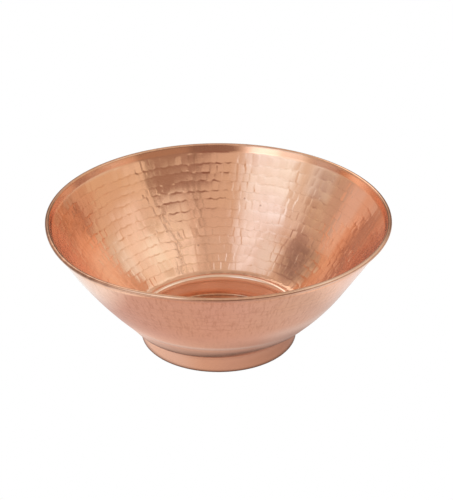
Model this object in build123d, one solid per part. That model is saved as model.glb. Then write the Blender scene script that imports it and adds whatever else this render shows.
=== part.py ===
from build123d import *

# Hammered copper bowl: a flared sheet wall, brazed to a shallow foot pan, with a wired rim.
# Millimetres. +Z is up, and the origin is the centre of the ring that the bowl stands on.
# Each piece is round, so each is a section in the XZ plane turned about Z. Sections are drawn
# as (radius, height), along the outside of the sheet, which is then thickened inwards.

import os
from math import acos, atan2, cos, degrees, hypot, radians, sin

# Driving dimensions.
rim_radius = 160.0  # outside of the wired rim
bowl_height = 127.0  # top of the wired rim
sheet = 1.2  # copper gauge of the wall and the pan
foot_height = 20.0  # from the table to the underside of the wall
foot_top_radius = 76.5
foot_base_radius = 73.4  # where the foot's side would meet the table if it had no rounding

# The wall. A flare is how far the wall runs out for each millimetre that it climbs.
heel_run = 4.5  # flat underside of the wall outside the foot, before its rounding
heel_rounding = 9.0
lower_flare = 0.933
upper_flare = 0.644
belly_height = 56.0  # where one flare gives way to the other
belly_rounding = 200.0
lip_height = 119.0  # where the wall turns up to the rim
lip_rounding = 8.0

# The wired rim.
wire_radius = 0.9
wire_clearance = 0.02
curl_angle = 285.0  # how far the sheet wraps round the wire, in degrees

# The foot joint: a collar of the wall stands inside the pan, and is brazed there.
collar_gap = 0.05  # between the collar and the inside of the pan
collar_depth = 4.5
collar_rounding = 0.4
seat_gap = 0.25  # between the pan's edge and the wall, filled by the braze
braze_leg = 1.5
braze_reach = 0.7  # how far the braze runs in over the pan's edge
braze_clearance = 0.02

# The floor of the pan, which is dished upwards inside the ring that the bowl stands on.
dish_rise = 0.8
dish_radius = 61.5
ring_inner_radius = 66.5
dish_rounding = 18.0
foot_corner_rounding = 2.6

bead_radius = wire_radius + wire_clearance + sheet
wire_centre = (rim_radius - bead_radius, bowl_height - bead_radius)
foot_lean = (foot_top_radius - foot_base_radius) / foot_height
pan_height = foot_height - seat_gap


def foot_side(height, depth=0.0):
    """Point on the foot's side at a height, moved into the sheet by a depth."""
    radius = foot_base_radius + foot_lean * height
    return (radius - depth * hypot(1.0, foot_lean), height)


def sheet_section(corners, radii):
    """Closed section of the sheet, from the corners of its outside and their rounding radii.

    The inside is on the left of the way that the corners run, and its roundings have the same
    centres as those of the outside.
    """
    headings = [atan2(b[1] - a[1], b[0] - a[0]) for a, b in zip(corners, corners[1:])]
    inner_corners = []
    for corner, come, leave in zip(corners, headings[:1] + headings, headings + headings[-1:]):
        reach = sheet / cos((leave - come) / 2)
        middle = (come + leave) / 2
        inner_corners.append((corner[0] - reach * sin(middle), corner[1] + reach * cos(middle)))
    inner_radii = []
    for radius, come, leave in zip(radii, headings, headings[1:]):
        turns_left = leave > come
        inner_radii.append(radius - sheet if turns_left else radius + sheet)
    outside = FilletPolyline(*corners, radius=radii)
    inside = FilletPolyline(*inner_corners, radius=tuple(inner_radii))
    first_edge = Line(outside @ 0, inside @ 0)
    last_edge = Line(outside @ 1, inside @ 1)
    return make_face([*outside.edges(), *inside.edges(), first_edge, last_edge])


def turned(section):
    """The solid that a section makes when it is turned about Z."""
    return revolve(Plane.XZ * section, axis=Axis.Z)


def wire_tangent(start, radius):
    """Angle round the wire at which a line from start touches a circle of that radius."""
    run = start[0] - wire_centre[0]
    rise = start[1] - wire_centre[1]
    return degrees(atan2(rise, run) - acos(radius / hypot(run, rise)))


def curl_section(start_angle):
    """Section of the curled edge, which wraps the wire clockwise from the given angle."""
    inside = CenterArc(wire_centre, wire_radius + wire_clearance, start_angle, -curl_angle)
    outside = CenterArc(wire_centre, bead_radius, start_angle, -curl_angle)
    first_edge = Line(inside @ 0, outside @ 0)
    last_edge = Line(inside @ 1, outside @ 1)
    return make_face([inside, outside, first_edge, last_edge])


def bowl_wall():
    """Collar, heel, flared wall and lip, with the edge curled outwards round the wire."""
    collar_top = foot_side(foot_height, sheet + collar_gap)
    collar_end = foot_side(foot_height - collar_depth, sheet + collar_gap)
    heel = (foot_top_radius + heel_run, foot_height)
    belly = (heel[0] + lower_flare * (belly_height - foot_height), belly_height)
    lip = (belly[0] + upper_flare * (lip_height - belly_height), lip_height)
    curl_radius = wire_radius + wire_clearance
    contact = wire_tangent(lip, curl_radius)
    edge = (
        wire_centre[0] + curl_radius * cos(radians(contact)),
        wire_centre[1] + curl_radius * sin(radians(contact)),
    )
    corners = [collar_end, collar_top, heel, belly, lip, edge]
    radii = (collar_rounding, heel_rounding, belly_rounding, lip_rounding)
    return turned(sheet_section(corners, radii) + curl_section(contact))


def rim_wire():
    """Ring of wire inside the curled edge."""
    return turned(Pos(*wire_centre) * Circle(wire_radius))


def foot_pan():
    """Shallow cup with a leaning side, a standing ring and a slightly raised floor."""
    corners = [
        (0.0, dish_rise),
        (dish_radius, dish_rise),
        (ring_inner_radius, 0.0),
        (foot_base_radius, 0.0),
        foot_side(foot_height),
    ]
    radii = (dish_rounding, dish_rounding, foot_corner_rounding)
    filed_off = Pos(foot_top_radius, pan_height + sheet) * Rectangle(4 * sheet, 2 * sheet)
    return turned(sheet_section(corners, radii) - filed_off)


def foot_braze():
    """Brazing alloy over the pan's edge, with a sloping face between the foot and the wall."""
    top = foot_height - braze_clearance
    bottom = pan_height + braze_clearance
    inner = foot_top_radius - braze_reach
    low = foot_side(foot_height - braze_leg, -braze_clearance)
    corner = foot_side(bottom, -braze_clearance)
    out = (foot_top_radius + braze_leg, top)
    outline = Polyline(low, corner, (inner, bottom), (inner, top), out, close=True)
    return turned(make_face(outline))


os.makedirs("parts", exist_ok=True)
for make_piece in (bowl_wall, rim_wire, foot_pan, foot_braze):
    export_step(make_piece(), f"parts/{make_piece.__name__}.step")
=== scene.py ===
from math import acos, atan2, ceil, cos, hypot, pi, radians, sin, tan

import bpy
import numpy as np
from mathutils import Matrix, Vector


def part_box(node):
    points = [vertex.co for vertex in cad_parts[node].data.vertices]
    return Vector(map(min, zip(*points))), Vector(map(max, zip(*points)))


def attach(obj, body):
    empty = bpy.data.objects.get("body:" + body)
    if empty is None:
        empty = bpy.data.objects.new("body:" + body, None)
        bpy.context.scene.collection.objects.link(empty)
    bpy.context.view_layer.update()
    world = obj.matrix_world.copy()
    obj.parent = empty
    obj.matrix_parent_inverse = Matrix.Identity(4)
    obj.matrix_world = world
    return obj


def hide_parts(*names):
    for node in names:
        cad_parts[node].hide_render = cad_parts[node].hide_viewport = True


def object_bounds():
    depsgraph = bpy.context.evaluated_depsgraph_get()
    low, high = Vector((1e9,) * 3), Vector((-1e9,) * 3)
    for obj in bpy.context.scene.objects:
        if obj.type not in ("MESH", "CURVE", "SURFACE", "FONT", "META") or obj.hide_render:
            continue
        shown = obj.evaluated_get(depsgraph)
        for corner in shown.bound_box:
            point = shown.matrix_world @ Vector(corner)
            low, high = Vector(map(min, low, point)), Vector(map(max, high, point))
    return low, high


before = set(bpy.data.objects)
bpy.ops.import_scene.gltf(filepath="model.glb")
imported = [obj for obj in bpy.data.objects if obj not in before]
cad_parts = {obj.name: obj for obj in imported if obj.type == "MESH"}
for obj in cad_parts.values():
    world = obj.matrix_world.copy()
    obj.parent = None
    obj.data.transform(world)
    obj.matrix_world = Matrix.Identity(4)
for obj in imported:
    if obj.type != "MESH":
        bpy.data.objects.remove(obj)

# Hammered copper bowl. Every piece is round, so each is a section, in millimetres as
# (radius, height), turned about Z into a fine mesh in metres. The wall's hammer marks are
# pressed into that mesh, and the same marks colour the copper where they meet.

cad_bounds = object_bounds()
MM = 0.001
random = np.random.default_rng(7)

# Sizes that the frame gives.
wall_low, wall_high = (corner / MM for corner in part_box("bowl_wall"))
wire_low, wire_high = (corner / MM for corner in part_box("rim_wire"))
rim_radius = wall_high.x
bowl_height = wall_high.z
wire_radius = (wire_high.z - wire_low.z) / 2
wire_centre = (wire_high.x - wire_radius, (wire_high.z + wire_low.z) / 2)
bead_radius = rim_radius - wire_centre[0]
pan_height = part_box("foot_pan")[1].z / MM

# The sheet's section, as the CAD model has it.
sheet = 1.2
foot_height = 20.0
foot_top_radius = 76.5
foot_base_radius = 73.4
collar_gap = 0.05
collar_depth = foot_height - wall_low.z
collar_rounding = 0.4
heel_run = 4.5
heel_rounding = 9.0
lower_flare = 0.933
upper_flare = 0.644
belly_height = 56.0
belly_rounding = 200.0
lip_height = 119.0
lip_rounding = 8.0
curl_angle = 285.0
foot_lean = (foot_top_radius - foot_base_radius) / foot_height
dish_rise = 0.8
dish_radius = 61.5
ring_inner_radius = 66.5
dish_rounding = 18.0
foot_corner_rounding = 2.6
braze_reach = 0.7
braze_clearance = 0.02

# What use and the hammer have done to it, and where a highlight line is painted.
worn_corner = 3.2  # radius of the collar's inside corner
ridge_height = 42.5  # of the ridge above the heel, with its painted highlight line
marks_from = 74.0  # the outside is hammered between these heights
marks_to = 110.0

# Fineness of the meshes.
around = 1080  # points round each turned piece
angles = np.arange(around) * 2 * pi / around  # of those points, from +X towards +Y
degree = np.degrees(angles)
wall_step = 0.8  # between points along the wall's section
plain_step = 1.2


# ---- Shapes of curves ----

def smoothstep(low, high, value):
    """0 up to low, 1 from high, and eased between them."""
    share = np.clip((value - low) / (high - low), 0, 1)
    return share * share * (3 - 2 * share)


def bay(start, full, fall, end, value):
    """1 from full to fall, eased to 0 at start and at end."""
    return smoothstep(start, full, value) * (1 - smoothstep(fall, end, value))


def swell(middle, width, value):
    """1 at the middle, falling off as a bell curve."""
    return np.exp(-((value - middle) / width) ** 2)


# ---- Sections ----

def heading(a, b):
    """Direction from a to b, in radians."""
    return atan2(b[1] - a[1], b[0] - a[0])


def rounded_line(corners, radii, step):
    """Points along a polyline with rounded corners, and the heading at each point."""
    points, headings = [], []
    here = np.array(corners[0], float)
    for index in range(1, len(corners)):
        corner = np.array(corners[index], float)
        come = heading(corners[index - 1], corners[index])
        turn, back, radius = 0.0, 0.0, 0.0
        if index < len(corners) - 1:
            radius = radii[index - 1]
            turn = heading(corners[index], corners[index + 1]) - come
            turn = (turn + pi) % (2 * pi) - pi
            back = radius * tan(abs(turn) / 2)
        enter = corner - back * np.array((cos(come), sin(come)))
        count = max(1, ceil(np.linalg.norm(enter - here) / step))
        for share in np.arange(count) / count:
            points.append(here + (enter - here) * share)
            headings.append(come)
        here = enter
        if turn:
            side = np.sign(turn)
            middle = enter + side * radius * np.array((-sin(come), cos(come)))
            count = max(4, ceil(radius * abs(turn) / step))
            for share in np.arange(count) / count:
                angle = come + turn * share
                points.append(middle - side * radius * np.array((-sin(angle), cos(angle))))
                headings.append(angle)
            angle = come + turn
            here = middle - side * radius * np.array((-sin(angle), cos(angle)))
    points.append(here)
    headings.append(come)
    return np.array(points), np.array(headings)


def arc(centre, radius, start, sweep, count):
    """Points on an arc, from the start angle through the sweep, both in radians."""
    turn = start + sweep * np.linspace(0, 1, count)
    return np.array(centre) + radius * np.column_stack((np.cos(turn), np.sin(turn)))


def foot_side(height, depth=0.0):
    """Point on the foot's side at a height, moved into the sheet by a depth."""
    radius = foot_base_radius + foot_lean * height
    return (radius - depth * hypot(1.0, foot_lean), height)


def wall_outside():
    """Corners of the wall's outer face from the collar up to the wire, and where it meets it."""
    belly = (foot_top_radius + heel_run + lower_flare * (belly_height - foot_height), belly_height)
    lip = (belly[0] + upper_flare * (lip_height - belly_height), lip_height)
    touch = bead_radius - sheet
    run, rise = lip[0] - wire_centre[0], lip[1] - wire_centre[1]
    contact = atan2(rise, run) - acos(touch / hypot(run, rise))
    edge = (wire_centre[0] + touch * cos(contact), wire_centre[1] + touch * sin(contact))
    corners = [
        foot_side(foot_height - collar_depth, sheet + collar_gap),
        foot_side(foot_height, sheet + collar_gap),
        (foot_top_radius + heel_run, foot_height),
        belly,
        lip,
        edge,
    ]
    return corners, contact


# ---- Hammer marks ----

def hammer(slant, radius, rows, row_tilts, width, reach, depth, crown, tilt, soft, side):
    """Marks of a planishing hammer on a band of sheet, struck row upon row.

    slant and radius give the band's section, rows the slant of each row of blows in the order
    they fall with the tilt of each, and width how far apart the blows in a row are. reach is the
    half-size of a mark along its row and up the wall, crown its radii that way, and tilt how far
    it leans on its own. soft is the softness of its edge, and side how strongly the marks of a row
    show against each other. Returns how far the face moves, where marks meet and a shade for each
    mark, as grids of section by angle.
    """
    shape = (len(slant), around)
    moved, seam, shade = np.zeros(shape), np.zeros(shape), np.full(shape, 0.5)
    for row, row_tilt in zip(rows, row_tilts):
        # Blows are unevenly spaced, of unequal depth and size, tilted, and drift off the row.
        row_radius = np.interp(row, slant, radius)
        count = max(8, round(2 * pi * row_radius / width))
        place = np.arange(count) + random.uniform(-0.16, 0.16, count) + random.uniform()
        place = np.sort(place * 2 * pi / count % (2 * pi))
        sink = depth * random.uniform(0.65, 1.35, count)
        lean = np.array(tilt)[:, None] * random.normal(0, 1, (2, count))
        lean[1] += row_tilt
        wave = 0.7 * np.sin(place * 3 + random.uniform(0, 6))
        wave += 0.5 * np.sin(place * 11 + random.uniform(0, 6))
        drift = random.normal(0, 0.22, count) + wave
        size = random.uniform(0.92, 1.12, count)
        tone = random.uniform(0, 1, count)
        # The nearest two blows at each point, in units of a mark's half-size.
        near = np.searchsorted(place, angles)
        best = np.full(shape, 9e9)
        picked = np.zeros(shape, int)
        second = np.full(shape, 9e9)
        span = np.abs(slant - row) < reach[1] * 1.5 + 2.5
        for step in (-2, -1, 0, 1):
            blow = (near + step) % count
            across = ((angles - place[blow] + pi) % (2 * pi) - pi)[None, :] * radius[span][:, None]
            along = slant[span][:, None] - row - drift[blow][None, :]
            far = np.hypot(across / (reach[0] * size[blow]), along / (reach[1] * size[blow]))
            closer = far < best[span]
            second[span] = np.where(closer, best[span], np.minimum(second[span], far))
            picked[span] = np.where(closer, np.broadcast_to(blow, far.shape), picked[span])
            best[span] = np.where(closer, far, best[span])
        # Each mark is a shallow dish, and wipes out what it covers of the row before.
        blow = picked[span]
        across = ((angles[None, :] - place[blow] + pi) % (2 * pi) - pi) * radius[span][:, None]
        along = slant[span][:, None] - row - drift[blow]
        dish = across ** 2 / (2 * crown[0]) + along ** 2 / (2 * crown[1]) - sink[blow]
        dish += lean[0][blow] * across + lean[1][blow] * along
        cover = 1 - smoothstep(1 - soft, 1 + soft, best[span])
        edge = swell(1, 1.3 * soft, best[span])
        edge = np.maximum(edge, side * cover * swell(best[span], 1.2 * soft, second[span]))
        moved[span] = moved[span] * (1 - cover) + dish * cover
        seam[span] = np.maximum(seam[span] * (1 - cover), edge)
        shade[span] = shade[span] * (1 - cover) + tone[blow] * cover
    return moved, seam, shade


# ---- Meshes ----

def handmade(height):
    """How far the metal stands out from a true turning, outwards and upwards.

    The wall bulges on the left, the rim sags at the front left and the heel is lower on the left.
    """
    def near(middle, reach):
        apart = (angles - radians(middle) + pi) % (2 * pi) - pi
        return np.cos(np.clip(apart / radians(reach), -1, 1) * pi / 2) ** 2

    bulge = 2.8 * near(160, 115) * bay(40, 88, 86, 125, height)
    sag = near(221, 38) * smoothstep(55, 115, height)
    heel = swell(foot_height, 9.0, height) * smoothstep(3, 12, height)
    return bulge + 2.0 * sag, 1.8 * heel * np.cos(angles) - 2.0 * sag


def turned(name, section, marks, move=None):
    """A mesh from a closed section turned about Z.

    marks are values kept at each point for the material, and move shifts each point in the
    section's plane.
    """
    plane = np.repeat(section[:, None, :], around, axis=1)
    if move is not None:
        plane = plane + move
    out, up = handmade(plane[..., 1])
    radius = plane[..., 0] + out
    points = np.empty((len(section), around, 3))
    points[..., 0] = radius * np.cos(angles)
    points[..., 1] = radius * np.sin(angles)
    points[..., 2] = plane[..., 1] + up
    rings = len(section)
    ring_of = np.arange(rings * around).reshape(rings, around)
    above = np.roll(ring_of, -1, axis=0)
    corners = (ring_of, np.roll(ring_of, -1, axis=1), np.roll(above, -1, axis=1), above)
    quads = np.stack(corners, axis=-1).reshape(-1, 4)
    mesh = bpy.data.meshes.new(name)
    mesh.from_pydata((points.reshape(-1, 3) * MM).tolist(), [], quads.tolist())
    for mark, values in marks.items():
        layer = mesh.attributes.new(mark, "FLOAT", "POINT")
        layer.data.foreach_set("value", np.asarray(values, np.float32).ravel())
    mesh.update()
    mesh.shade_smooth()
    piece = bpy.data.objects.new(name, mesh)
    bpy.context.scene.collection.objects.link(piece)
    return piece


def stand_in(piece, node, material):
    """Puts a piece in the place of its CAD node, with its finish."""
    piece.data.materials.append(material)
    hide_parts(node)
    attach(piece, "root")


# ---- Node materials ----

class Nodes:
    """Short names for building a node tree."""

    def __init__(self, tree):
        self.tree = tree
        tree.nodes.clear()

    def add(self, kind, **inputs):
        node = self.tree.nodes.new(kind)
        for key, value in inputs.items():
            key = key.replace("_", " ")
            if key in node.inputs:
                self.put(node.inputs[key], value)
            else:
                setattr(node, key.replace(" ", "_"), value)
        return node

    def put(self, socket, value):
        if isinstance(value, bpy.types.NodeSocket):
            self.tree.links.new(value, socket)
        else:
            socket.default_value = value

    def math(self, operation, a, b=0.0):
        node = self.add("ShaderNodeMath", operation=operation)
        self.put(node.inputs[0], a)
        self.put(node.inputs[1], b)
        return node.outputs[0]

    def mix(self, share, a, b):
        node = self.add("ShaderNodeMix", data_type="RGBA")
        self.put(node.inputs[0], share)
        self.put(node.inputs[6], a)
        self.put(node.inputs[7], b)
        return node.outputs[2]

    def ramp(self, value, low, high, start=0.0, end=1.0):
        node = self.add("ShaderNodeMapRange", From_Min=low, From_Max=high, To_Min=start, To_Max=end)
        self.put(node.inputs["Value"], value)
        return node.outputs["Result"]

    def noise(self, vector, scale, detail, roughness):
        node = self.add("ShaderNodeTexNoise", Scale=scale, Detail=detail, Roughness=roughness)
        self.put(node.inputs["Vector"], vector)
        return node.outputs["Fac"]

    def mark(self, name):
        return self.add("ShaderNodeAttribute", attribute_name=name).outputs["Fac"]


golden = (0.93, 0.53, 0.335, 1.0)
pink = (0.93, 0.53, 0.37, 1.0)
dark_alloy = (0.45, 0.27, 0.18, 1.0)
light_alloy = (0.50, 0.33, 0.24, 1.0)
# Tone of dirt and of painted shade.
dirt_and_shade_tone = (0.16, 0.07, 0.04, 1.0)
fleck = (0.22, 0.09, 0.05, 1.0)
# Tint of the painted highlights.
highlight_tint = (1.0, 0.78, 0.64, 1.0)
dust = (0.85, 0.56, 0.46, 1.0)
haze = 0.045  # share of the surface that is dull everywhere
tarnishing = (0.66, 0.55, 0.48)  # share of each colour channel that tarnish leaves


def scratches(n, where):
    """Scratches that run up the wall: noise that changes round it and hardly with height."""
    axes = n.add("ShaderNodeSeparateXYZ")
    n.put(axes.inputs[0], where)
    level = n.add("ShaderNodeCombineXYZ", X=axes.outputs["X"], Y=axes.outputs["Y"])
    facing = n.add("ShaderNodeVectorMath", operation="NORMALIZE")
    n.put(facing.inputs[0], level.outputs[0])
    rise = n.add("ShaderNodeCombineXYZ", Z=n.math("MULTIPLY", axes.outputs["Z"], 0.28))
    upright = n.add("ShaderNodeVectorMath", operation="MULTIPLY_ADD")
    wall_radius = (0.13, 0.13, 0.13)
    for socket, value in zip(upright.inputs, (facing.outputs[0], wall_radius, rise.outputs[0])):
        n.put(socket, value)
    return n.noise(upright.outputs[0], 420.0, 3.0, 0.6)


def copper(name, main, other, rough, hammered=False):
    """Polished copper: two tones that drift, tarnish, faint spinning lines and some haze, with
    painted shade and painted highlights where the marks say.
    """
    material = bpy.data.materials.new(name)
    material.use_nodes = True
    n = Nodes(material.node_tree)
    where = n.add("ShaderNodeTexCoord").outputs["Object"]
    drift = n.noise(where, 14.0, 4.0, 0.5)
    cloud = n.noise(where, 55.0, 5.0, 0.6)
    streaks = scratches(n, where)
    tarnish = tuple(channel * share for channel, share in zip(main, tarnishing)) + (1.0,)

    # Colour, from the metal itself out to what lies on it.
    colour = n.mix(n.ramp(drift, 0.35, 0.65), main, other)
    colour = n.mix(n.ramp(cloud, 0.55, 0.8, 0.0, 0.16), colour, tarnish)
    # Dirt and painted shade where the mark says, in patches.
    stain_and_shade = n.ramp(n.noise(where, 160.0, 3.0, 0.6), 0.30, 0.60, 0.45, 1.0)
    colour = n.mix(n.math("MULTIPLY", n.mark("dirt_and_painted_shade"), stain_and_shade), colour, dirt_and_shade_tone)
    if hammered:
        colour = n.mix(n.ramp(n.mark("shade"), 0.0, 1.0, 0.0, 0.06), colour, tarnish)
        patchy = n.ramp(n.noise(where, 90.0, 3.0, 0.6), 0.38, 0.66, 0.12, 1.0)
        seam = n.math("MULTIPLY", n.mark("seam"), patchy)
        colour = n.mix(n.math("MULTIPLY", seam, 0.55), colour, tarnish)
        spots = n.add("ShaderNodeTexVoronoi", Scale=26.0)
        n.put(spots.inputs["Vector"], where)
        speck = n.ramp(spots.outputs["Distance"], 0.010, 0.036, 1.0, 0.0)
        colour = n.mix(n.math("MULTIPLY", speck, 0.5), colour, fleck)
        scratch = n.ramp(streaks, 0.50, 0.32, 0.0, 0.42)
        colour = n.mix(n.math("MULTIPLY", n.mark("brush"), scratch), colour, tarnish)
    # Painted highlights and painted light where the mark says.
    colour = n.mix(n.math("MULTIPLY", n.mark("painted_light"), 0.9), colour, highlight_tint)

    # Relief: spinning lines, fine grain and scratches.
    lines_at = n.add("ShaderNodeCombineXYZ", X=n.mark("slant"), Y=n.math("MULTIPLY", drift, 0.35))
    lines = n.math("MULTIPLY", n.noise(lines_at.outputs[0], 2.4, 4.0, 0.7), n.mark("spin"))
    grain = n.math("MULTIPLY", n.noise(where, 900.0, 2.0, 0.6), 0.12)
    scored = n.math("MULTIPLY", n.mark("brush"), n.math("MULTIPLY", streaks, 2.4))
    height = n.math("ADD", n.math("ADD", lines, grain), scored)
    bump = n.add("ShaderNodeBump", Strength=0.10, Distance=0.0002)
    n.put(bump.inputs["Height"], height)

    shader = n.add("ShaderNodeBsdfPrincipled", Metallic=1.0)
    n.put(shader.inputs["Base Color"], colour)
    n.put(shader.inputs["Roughness"], n.ramp(cloud, 0.3, 0.75, rough * 0.8, rough * 1.35))
    n.put(shader.inputs["Normal"], bump.outputs[0])
    # A dull haze everywhere, and more of it where light is painted.
    dull = n.add("ShaderNodeBsdfDiffuse", Color=dust)
    both = n.add("ShaderNodeMixShader")
    n.put(both.inputs[0], n.math("ADD", n.math("MULTIPLY", n.mark("painted_light"), 0.2), haze))
    n.put(both.inputs[1], shader.outputs[0])
    n.put(both.inputs[2], dull.outputs[0])
    n.put(n.add("ShaderNodeOutputMaterial").inputs["Surface"], both.outputs[0])
    return material


# ---- The pieces ----

def slants(points):
    """Distance along a section at each of its points."""
    return np.concatenate(([0.0], np.cumsum(np.hypot(*np.diff(points, axis=0).T))))


def spread(values):
    """Values along a section, repeated at every angle."""
    return np.repeat(values[:, None], around, axis=1)


def wall_section():
    """The wall's closed section, with its outside, its inside and the outside's left normals."""
    corners, contact = wall_outside()
    radii = (collar_rounding, heel_rounding, belly_rounding, lip_rounding)
    outer, headings = rounded_line(corners, radii, wall_step)
    left = np.column_stack((-np.sin(headings), np.cos(headings)))
    inner = outer + left * sheet
    # The collar's inside corner is worn rounder than the bare sheet would fold.
    middle = (
        foot_side(foot_height, 2 * sheet + collar_gap)[0] + worn_corner,
        foot_height + sheet - worn_corner,
    )
    for index, (x, z) in enumerate(inner):
        run, rise = middle[0] - x, z - middle[1]
        if run > 0 and rise > 0 and hypot(run, rise) > worn_corner:
            share = worn_corner / hypot(run, rise)
            inner[index] = (middle[0] - run * share, middle[1] + rise * share)
    sweep = -radians(curl_angle)
    curl_out = arc(wire_centre, bead_radius, contact, sweep, 34)
    curl_in = arc(wire_centre, bead_radius - sheet, contact, sweep, 18)
    section = np.vstack((inner[:-1], curl_out, curl_in[::-1], outer[-2::-1]))
    return section, outer, inner, left


def bowl_wall():
    """The hammered wall, with its collar, heel, lip and curled edge."""
    section, outer, inner, left = wall_section()
    slant = slants(outer)
    height = outer[:, 1]
    heel_end = slant[np.argmax(height > foot_height + 5.5)]
    band_start = slant[np.argmax(height > lip_height - 1.0)]
    outer_start = slant[np.argmax(height > marks_from)]
    outer_end = slant[np.argmax(height > marks_to)]
    inner_rows = np.arange(band_start - 4.5, heel_end - 14.0, -9.2)[::-1]
    inner_tilts = random.normal(0, 0.006, len(inner_rows))
    inner_moved, inner_seam, inner_shade = hammer(
        slant, inner[:, 0], inner_rows, inner_tilts, width=7.2, reach=(7.0, 6.3), depth=0.05,
        crown=(330.0, 260.0), tilt=(0.016, 0.008), soft=0.05, side=0.22,
    )
    outer_rows = np.arange(outer_end - 3.5, outer_start - 5.0, -7.4)[::-1]
    outer_tilts = random.normal(0, 0.003, len(outer_rows))
    outer_moved, outer_seam, outer_shade = hammer(
        slant, outer[:, 0], outer_rows, outer_tilts, width=7.0, reach=(5.9, 5.1), depth=0.03,
        crown=(500.0, 600.0), tilt=(0.006, 0.004), soft=0.08, side=0.8,
    )
    to_band = 1 - smoothstep(band_start - 2, band_start + 2, slant)
    inner_zone = (to_band * smoothstep(heel_end - 13, heel_end - 8, slant))[:, None]
    outer_zone = bay(outer_start - 4, outer_start, outer_end - 1, outer_end + 1, slant)[:, None]
    inner_moved *= inner_zone
    outer_moved *= outer_zone
    inner_seam *= inner_zone
    # The topmost edges of the outside's marks are the darkest.
    outer_seam *= outer_zone * (1.0 + 0.8 * swell(outer_end - 1, 3.0, slant))[:, None]
    # A low ridge goes round above the heel, with a highlight painted along its top.
    outer_moved += 0.06 * swell(ridge_height, 1.8, height)[:, None]

    # The section goes up the inside, round the curl and down the outside.
    rings = len(section)
    count = len(outer) - 1
    inside = slice(0, count)
    curl = slice(count, rings - count)
    outside = slice(rings - count, rings)
    move = np.zeros((rings, around, 2))
    move[inside] = left[:-1, None, :] * inner_moved[:-1, :, None]
    move[outside] = -(left[:-1, None, :] * outer_moved[:-1, :, None])[::-1]
    marks = {"slant": spread(slants(section))}
    marks["seam"] = np.zeros((rings, around))
    marks["seam"][inside] = inner_seam[:-1]
    marks["seam"][outside] = outer_seam[:-1][::-1]
    marks["shade"] = np.full((rings, around), 0.5)
    marks["shade"][inside] = inner_shade[:-1]
    marks["shade"][outside] = outer_shade[:-1][::-1]

    # Painted shade at the collar's end, in the crease under the rim and in the corner over the
    # foot; the curl is a little darker all round.
    out_height = section[outside, 1]
    dirt_and_painted_shade = 0.5 * swell(0, 0.7, slants(section))
    dirt_and_painted_shade[curl] = 0.3
    dirt_and_painted_shade[outside] = 0.95 * swell(out_height[0], 1.3, out_height)
    dirt_and_painted_shade[outside] += 0.3 * (1 - smoothstep(foot_height + 0.6, foot_height + 2.2, out_height))
    # Painted highlight along the ridge, and painted light over the heel below it.
    painted_light = np.zeros(rings)
    painted_light[outside] = swell(ridge_height, 2.6, out_height)
    painted_light[outside] += 0.32 * (1 - smoothstep(30, 38, out_height))
    # Lines from spinning show most at the bottom of the inside, and scratches on the outside.
    spin = np.full(rings, 0.35)
    spin[inside] = 1.0 - 0.65 * smoothstep(heel_end - 4, heel_end + 14, slant[:-1])
    spin[outside] = 0.3
    brush = np.zeros(rings)
    brush[inside] = 0.08
    brush[outside] = 0.4 + 0.6 * smoothstep(outer_start - 14, outer_start - 6, slant[:-1])[::-1]
    for mark, values in (("dirt_and_painted_shade", dirt_and_painted_shade), ("painted_light", painted_light), ("spin", spin), ("brush", brush)):
        marks[mark] = spread(values)

    # Painted light and shade, scratches and darker patches, each kept to one side.
    below_band = to_band[:-1, None]
    climb = inner[:-1, 1:]
    # The inside's shares of dirt and painted shade, and of painted light.
    stain_and_shade, painted_brightness = marks["dirt_and_painted_shade"][inside], marks["painted_light"][inside]
    # Left: scratched, darker towards the top, and painted light at the bottom.
    marks["brush"][inside] += 0.8 * bay(148, 156, 196, 210, degree) * below_band
    stain_and_shade += 0.32 * bay(154, 160, 172, 184, degree) * smoothstep(76, 96, climb) * below_band
    painted_brightness += 0.4 * bay(140, 148, 166, 176, degree) * (1 - smoothstep(60, 80, climb))
    # Painted shade in the turn into the foot, except at the back left.
    dull = 1 - 0.8 * bay(98, 110, 150, 165, degree)
    stain_and_shade += 0.5 * dull * swell(9.0, 3.0, slant[:-1])[:, None]
    # The curl has painted shade at the front left and a painted highlight at the front right.
    marks["dirt_and_painted_shade"][curl] += 0.4 * bay(184, 196, 226, 240, degree)
    marks["painted_light"][curl] += 0.4 * bay(286, 306, 335, 350, degree)
    # Right: painted shadow at the bottom and painted light further up.
    stain_and_shade += 0.4 * bay(20, 30, 44, 54, degree) * bay(24, 30, 48, 64, climb)
    painted_brightness += 0.35 * bay(20, 24, 28, 34, degree) * smoothstep(54, 64, climb) * below_band
    # Front half, which mirrors the deepest colour: painted light and painted shadow there.
    front = 1 - bay(8, 20, 168, 178, degree)
    painted_brightness += 0.28 * front * below_band
    stain_and_shade += 0.16 * front * below_band
    # Painted highlights: back right near the rim, on the collar, and on the rim's band at the back
    # left.
    painted_brightness += 0.35 * bay(38, 42, 49, 55, degree) * smoothstep(90, 98, climb)
    painted_brightness += 0.6 * (1 - smoothstep(5, 8, slant[:-1]))[:, None]
    painted_brightness += 0.8 * bay(122, 140, 170, 182, degree) * (1 - below_band)
    # Outside, the painted highlight line fades towards the front right, where the heel has painted
    # light instead.
    marks["painted_light"][outside] *= 1.0 - 0.6 * bay(284, 306, 325, 350, degree)
    painted_heel_light = bay(285, 300, 322, 345, degree) * (1 - smoothstep(58, 72, out_height))[:, None]
    marks["painted_light"][outside] += 0.5 * painted_heel_light
    return turned("bowl_wall_hammered", section, marks, move)


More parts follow.
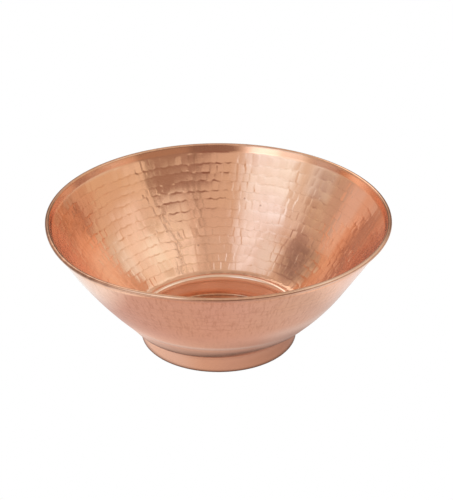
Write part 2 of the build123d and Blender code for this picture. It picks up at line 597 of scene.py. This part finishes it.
def foot_pan():
    """The smooth foot and floor, as one spun cup."""
    corners = [
        (0.0, dish_rise),
        (dish_radius, dish_rise),
        (ring_inner_radius, 0.0),
        (foot_base_radius, 0.0),
        foot_side(pan_height),
    ]
    radii = (dish_rounding, dish_rounding, foot_corner_rounding)
    outer, headings = rounded_line(corners, radii, plain_step)
    inner = outer + np.column_stack((-np.sin(headings), np.cos(headings))) * sheet
    inner[-1] = foot_side(pan_height, sheet)
    inner = inner[inner[:, 1] <= pan_height + 1e-6]
    section = np.vstack((outer, inner[::-1]))
    section[0, 0] = section[-1, 0] = 0.02  # just off the axis
    radius, height = section.T
    inside = np.arange(len(section)) >= len(outer)
    # Painted shade: inside, at the collar's end, in the bottom corner and a little over the rest;
    # outside, under the heel.
    collar_end_shade = 0.35 * swell(foot_height - collar_depth, 0.8, height)
    corner = 0.75 * swell(70.0, 3.0, radius) * (height < 4.0)
    under_heel = 0.25 * smoothstep(foot_height - 6.0, foot_height - 2.5, height)
    dirt_and_painted_shade = np.where(inside, np.maximum(collar_end_shade, np.maximum(corner, 0.12)), under_heel)
    # Painted light on the inside above the floor, and a little over the outside.
    painted_light = spread(np.where(inside, 0.9 * smoothstep(4.0, 9.0, height), 0.1))
    # The outside has more painted light at the front left.
    side = smoothstep(1.0, 4.0, height[:len(outer)])[:, None]
    painted_light[:len(outer)] += 0.45 * bay(188, 205, 238, 262, degree) * side
    marks = {"slant": spread(slants(section)), "dirt_and_painted_shade": spread(dirt_and_painted_shade), "painted_light": painted_light}
    marks["spin"] = np.full(painted_light.shape, 0.6)
    return turned("foot_pan_spun", section, marks)


def rim_wire():
    """The wire inside the curled edge."""
    section = arc(wire_centre, wire_radius, 0.0, 2 * pi, 25)[:-1]
    return turned("rim_wire_drawn", section, {"slant": spread(slants(section))})


def foot_braze():
    """The braze in the corner between the foot and the wall."""
    low, high = (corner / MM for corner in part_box("foot_braze"))
    bottom = np.array(foot_side(low.z, -braze_clearance))
    top = np.array((high.x, high.z))
    across = np.linspace(0, 1, 9)[:, None]
    straight = bottom + (top - bottom) * across
    hollow = np.sin(across * pi) * 0.18 * (high.z - low.z) * np.array((-0.7, 0.7))
    over_edge = foot_top_radius - braze_reach
    section = np.vstack((
        straight + hollow,
        (over_edge, high.z),
        (over_edge, pan_height + braze_clearance),
        foot_side(pan_height, -braze_clearance),
    ))
    return turned("foot_braze_fillet", section, {"slant": spread(slants(section))})


hammered_copper = copper("hammered copper", golden, pink, 0.13, hammered=True)
stand_in(bowl_wall(), "bowl_wall", hammered_copper)
polished_copper = copper("polished copper", golden, pink, 0.16)
stand_in(foot_pan(), "foot_pan", polished_copper)
wire_copper = copper("wire copper", golden, pink, 0.3)
stand_in(rim_wire(), "rim_wire", wire_copper)
braze_alloy = copper("braze", dark_alloy, light_alloy, 0.4)
stand_in(foot_braze(), "foot_braze", braze_alloy)


# ---- Floor, light and camera ----

def floor():
    """The table: white to the camera, and to the copper the tints that the photo's shows."""
    mesh = bpy.data.meshes.new("floor")
    size = 5.0
    corners = [(-size, -size, 0), (size, -size, 0), (size, size, 0), (-size, size, 0)]
    mesh.from_pydata(corners, [], [(0, 1, 2, 3)])
    ground = bpy.data.objects.new("floor", mesh)
    ground.location.z = cad_bounds[0].z - 0.0002
    bpy.context.scene.collection.objects.link(ground)
    material = bpy.data.materials.new("pale floor")
    material.use_nodes = True
    n = Nodes(material.node_tree)
    where = n.add("ShaderNodeSeparateXYZ")
    n.put(where.inputs[0], n.add("ShaderNodeTexCoord").outputs["Object"])
    east = where.outputs["X"]
    squares = [n.math("POWER", where.outputs[axis], 2.0) for axis in ("X", "Y")]
    apart = n.math("SQRT", n.math("ADD", *squares))
    # Painted shadow, warm, under the bowl's overhang, and pale beyond the rim on either side.
    open_floor = n.mix(n.ramp(east, 0.0, 0.12), (0.67, 0.53, 0.50, 1), (0.70, 0.64, 0.62, 1))
    open_floor = n.mix(n.ramp(east, -0.118, -0.15), open_floor, (1.0, 1.06, 1.07, 1))
    open_floor = n.mix(n.ramp(east, 0.125, 0.155), open_floor, (0.95, 0.90, 0.88, 1))
    # Painted shadow near the foot, deeper on the right and darkest against the foot, and far away
    # it is dim.
    by_foot = n.mix(n.ramp(east, -0.08, 0.08), (0.86, 0.70, 0.63, 1), (0.40, 0.30, 0.27, 1))
    by_foot = n.mix(n.ramp(apart, 0.0735, 0.078), (0.10, 0.07, 0.06, 1), by_foot)
    glow = n.mix(n.ramp(apart, 0.085, 0.102), by_foot, open_floor)
    glow = n.mix(n.ramp(apart, 0.35, 0.9), glow, (0.20, 0.17, 0.15, 1))
    # The floor glows, though it is no lamp: plain white to the camera, and to the copper with its
    # painted shadows.
    seen = n.add("ShaderNodeLightPath").outputs["Is Camera Ray"]
    painted_brightness = n.add("ShaderNodeEmission")
    n.put(painted_brightness.inputs["Color"], n.mix(seen, glow, (1, 1, 1, 1)))
    n.put(n.add("ShaderNodeOutputMaterial").inputs["Surface"], painted_brightness.outputs[0])
    mesh.materials.append(material)


def overhead_lamp():
    """A wide, soft lamp almost straight above the bowl, which the copper doesn't mirror."""
    width, distance, strength, elevation = 3.0, 2.4, 0.5, radians(88)
    lamp = bpy.data.lights.new("overhead", "AREA")
    lamp.size = width
    lamp.energy = strength * pi * width ** 2
    light = bpy.data.objects.new("overhead", lamp)
    away = Vector((0, -cos(elevation), sin(elevation)))
    light.location = away * distance + Vector((0, 0, 0.08))
    light.rotation_mode = "QUATERNION"
    light.rotation_quaternion = away.to_track_quat("Z", "Y")
    light.visible_glossy = False
    bpy.context.scene.collection.objects.link(light)


# Panels of the studio: azimuths from and to, elevations from and to, softness of the edges in
# degrees, and the light from the panel. Azimuth 0 is in front of the bowl, and 90 on its right.
# Later panels cover earlier ones.
panels = (
    (-200, 200, 56, 95, 6, (0.72, 0.68, 0.60)),
    (64, 125, -5, 25, 3, (0.76, 0.64, 0.49)),
    (12, 125, 25, 38, 3, (0.86, 0.80, 0.69)),
    (72, 125, 29, 38, 3, (1.00, 1.02, 0.98)),
    (34, 110, 38, 58, 3, (1.06, 1.14, 1.12)),
    (32, 52, 38, 52, 3, (0.88, 0.90, 0.80)),
    (62, 78, 34, 44, 3, (0.78, 0.76, 0.66)),
    (74, 96, 41, 53, 3, (1.06, 1.26, 1.28)),
    (4, 54, 4, 38, 2, (0.38, 0.27, 0.22)),
    (-10, 14, 10, 34, 3, (0.28, 0.16, 0.12)),
    (104, 130, -5, 14, 3, (0.54, 0.34, 0.22)),
    (-66, -24, 22, 40, 8, (1.14, 1.52, 1.90)),
    (-54, -24, 40, 60, 9, (1.08, 1.34, 1.60)),
    (-44, -21, 4, 22, 4, (1.80, 2.00, 2.20)),
    (-62, -44, 4, 22, 4, (1.25, 1.40, 1.60)),
    (-82, -64, 2, 36, 4, (0.82, 0.84, 0.84)),
    (-114, -82, 8, 25, 4, (0.60, 0.50, 0.45)),
    (-96, -84, 16, 27, 3, (0.70, 0.66, 0.58)),
    (-150, -107.5, 3, 22, 1.2, (0.78, 0.56, 0.46)),
    (-112, -80, 26, 42, 4, (0.46, 0.36, 0.33)),
    (-84, -56, 44, 56, 3, (0.90, 1.05, 1.16)),
    (-90, -66, -5, 10, 3, (0.62, 0.50, 0.45)),
    (-14, 22, -5, 12, 3, (0.27, 0.18, 0.14)),
    (20, 58, -5, 12, 3, (0.42, 0.29, 0.22)),
    (60, 130, -5, 12, 3, (0.72, 0.52, 0.38)),
    (54, 57, 4, 60, 0.6, (0.24, 0.16, 0.11)),
    (51, 53, 32, 60, 0.6, (1.20, 1.20, 1.10)),
    (17, 19.5, 12, 60, 0.6, (0.26, 0.18, 0.13)),
    (21, 22.5, 38, 60, 0.6, (1.10, 1.10, 1.00)),
    (140, 200, -5, 26, 6, (0.22, 0.17, 0.14)),
    (-200, -140, -5, 26, 6, (0.22, 0.17, 0.14)),
    (-172, -122, 30, 55, 5, (1.60, 1.60, 1.55)),
)


def sky():
    """The studio's walls: soft pale panels all round, seen only in the copper."""
    world = bpy.data.worlds.new("studio")
    bpy.context.scene.world = world
    world.use_nodes = True
    n = Nodes(world.node_tree)
    ray = n.add("ShaderNodeSeparateXYZ")
    n.put(ray.inputs[0], n.add("ShaderNodeTexCoord").outputs["Generated"])
    turn = n.math("ARCTAN2", ray.outputs["X"], n.math("MULTIPLY", ray.outputs["Y"], -1.0))
    azimuth = n.math("MULTIPLY", turn, 180 / pi)
    elevation = n.math("MULTIPLY", n.math("ARCSINE", ray.outputs["Z"]), 180 / pi)
    light = (0.73, 0.65, 0.55, 1.0)
    for west, east, low, high, soft, colour in panels:
        inside = 1.0
        for value, start, end in ((azimuth, west, east), (elevation, low, high)):
            inside = n.math("MULTIPLY", n.ramp(value, start - soft, start + soft), inside)
            inside = n.math("MULTIPLY", n.ramp(value, end - soft, end + soft, 1.0, 0.0), inside)
        light = n.mix(inside, light, colour + (1.0,))
    seen = n.add("ShaderNodeLightPath").outputs["Is Camera Ray"]
    back = n.add("ShaderNodeBackground")
    n.put(back.inputs["Color"], n.mix(seen, light, (1, 1, 1, 1)))
    n.put(n.add("ShaderNodeOutputWorld").inputs["Surface"], back.outputs[0])


def camera():
    """Looks along +Y and down at the rim, from the place that was fitted to the photo."""
    rim = Vector((0, 0, bowl_height * MM))
    unit = rim_radius * MM
    tilt = radians(26.73)
    distance = 10  # this and the aim are in rim radii from the rim's centre
    aim_right, aim_down = 0.0456, 0.208
    back = Vector((0, -cos(tilt), sin(tilt)))
    right = Vector((1, 0, 0))
    up = right.cross(-back)
    data = bpy.data.cameras.new("camera")
    data.sensor_width = 36.0
    data.lens = 124.6
    view = bpy.data.objects.new("camera", data)
    view.location = rim + back * unit * distance
    target = rim + right * unit * aim_right - up * unit * aim_down
    view.rotation_mode = "QUATERNION"
    view.rotation_quaternion = (target - view.location).to_track_quat("-Z", "Y")
    bpy.context.scene.collection.objects.link(view)
    bpy.context.scene.camera = view


floor()
sky()
overhead_lamp()
camera()
bpy.context.scene.view_settings.view_transform = "Standard"
